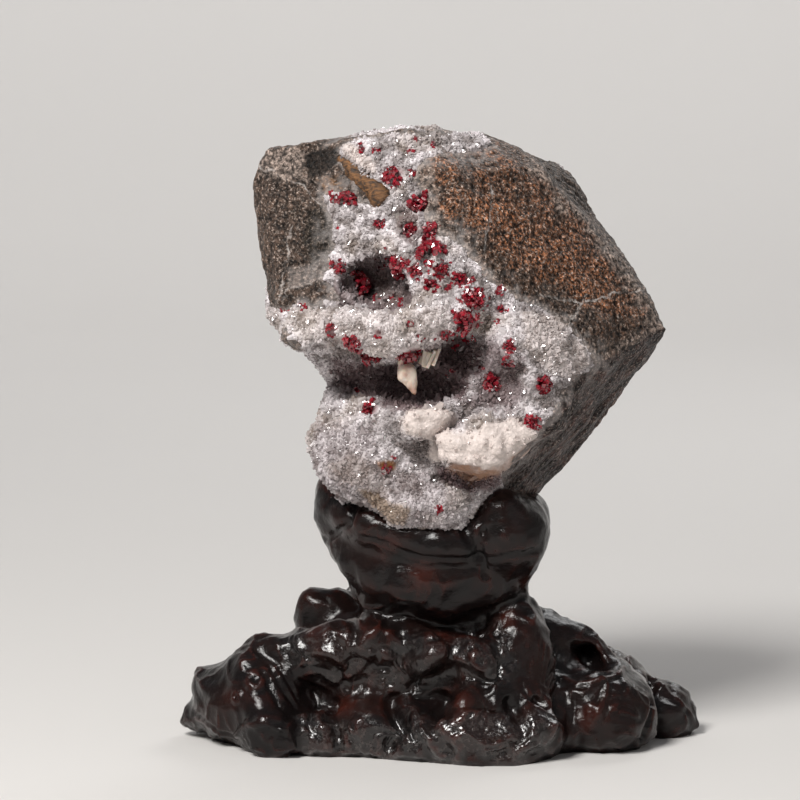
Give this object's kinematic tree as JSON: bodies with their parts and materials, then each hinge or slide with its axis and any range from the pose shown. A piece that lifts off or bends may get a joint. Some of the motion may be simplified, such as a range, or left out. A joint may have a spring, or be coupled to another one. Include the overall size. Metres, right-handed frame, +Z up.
{
  "type": "mineral specimen on stand",
  "caption": "Limestone block with a hollowed quartz crust, red cinnabar and pale calcite crystals, resting in the cup of a carved and lacquered root-wood stand.",
  "frame": {"origin": "on the floor under the middle of the object's box", "axes": "+Z up, -Y towards the front where the crystals are, +X to the right as seen from the front"},
  "size_m": [0.1708, 0.1004, 0.2],
  "materials": {
    "lacquered_wood": "black-brown lacquer, glossy, worn reddish on raised places",
    "limestone": "broken rough, grey-brown, with a rusty face and white veins",
    "quartz": "crust of fine sparkling crystals, white to smoky grey",
    "calcite": "cream, slightly translucent",
    "cinnabar": "dark red, bright glassy faces"
  },
  "bodies": {
    "root": {"calcite_rhomb": "calcite", "calcite_tooth": "calcite", "cinnabar_01": "cinnabar", "cinnabar_02": "cinnabar", "cinnabar_03": "cinnabar", "cinnabar_04": "cinnabar", "cinnabar_05": "cinnabar", "cinnabar_06": "cinnabar", "cinnabar_07": "cinnabar", "cinnabar_08": "cinnabar", "cinnabar_09": "cinnabar", "cinnabar_10": "cinnabar", "cinnabar_11": "cinnabar", "cinnabar_12": "cinnabar", "cinnabar_13": "cinnabar", "cinnabar_14": "cinnabar", "cinnabar_15": "cinnabar", "cinnabar_16": "cinnabar", "cinnabar_17": "cinnabar", "cinnabar_18": "cinnabar", "cinnabar_19": "cinnabar", "cinnabar_20": "cinnabar", "cinnabar_21": "cinnabar", "cinnabar_22": "cinnabar", "cinnabar_23": "cinnabar", "cinnabar_24": "cinnabar", "cinnabar_25": "cinnabar", "cinnabar_26": "cinnabar", "cinnabar_27": "cinnabar", "cinnabar_28": "cinnabar", "cinnabar_29": "cinnabar", "cinnabar_30": "cinnabar", "host_rock": "limestone", "quartz_crust": "quartz", "wood_stand": "lacquered_wood"}
  },
  "joints": []
}
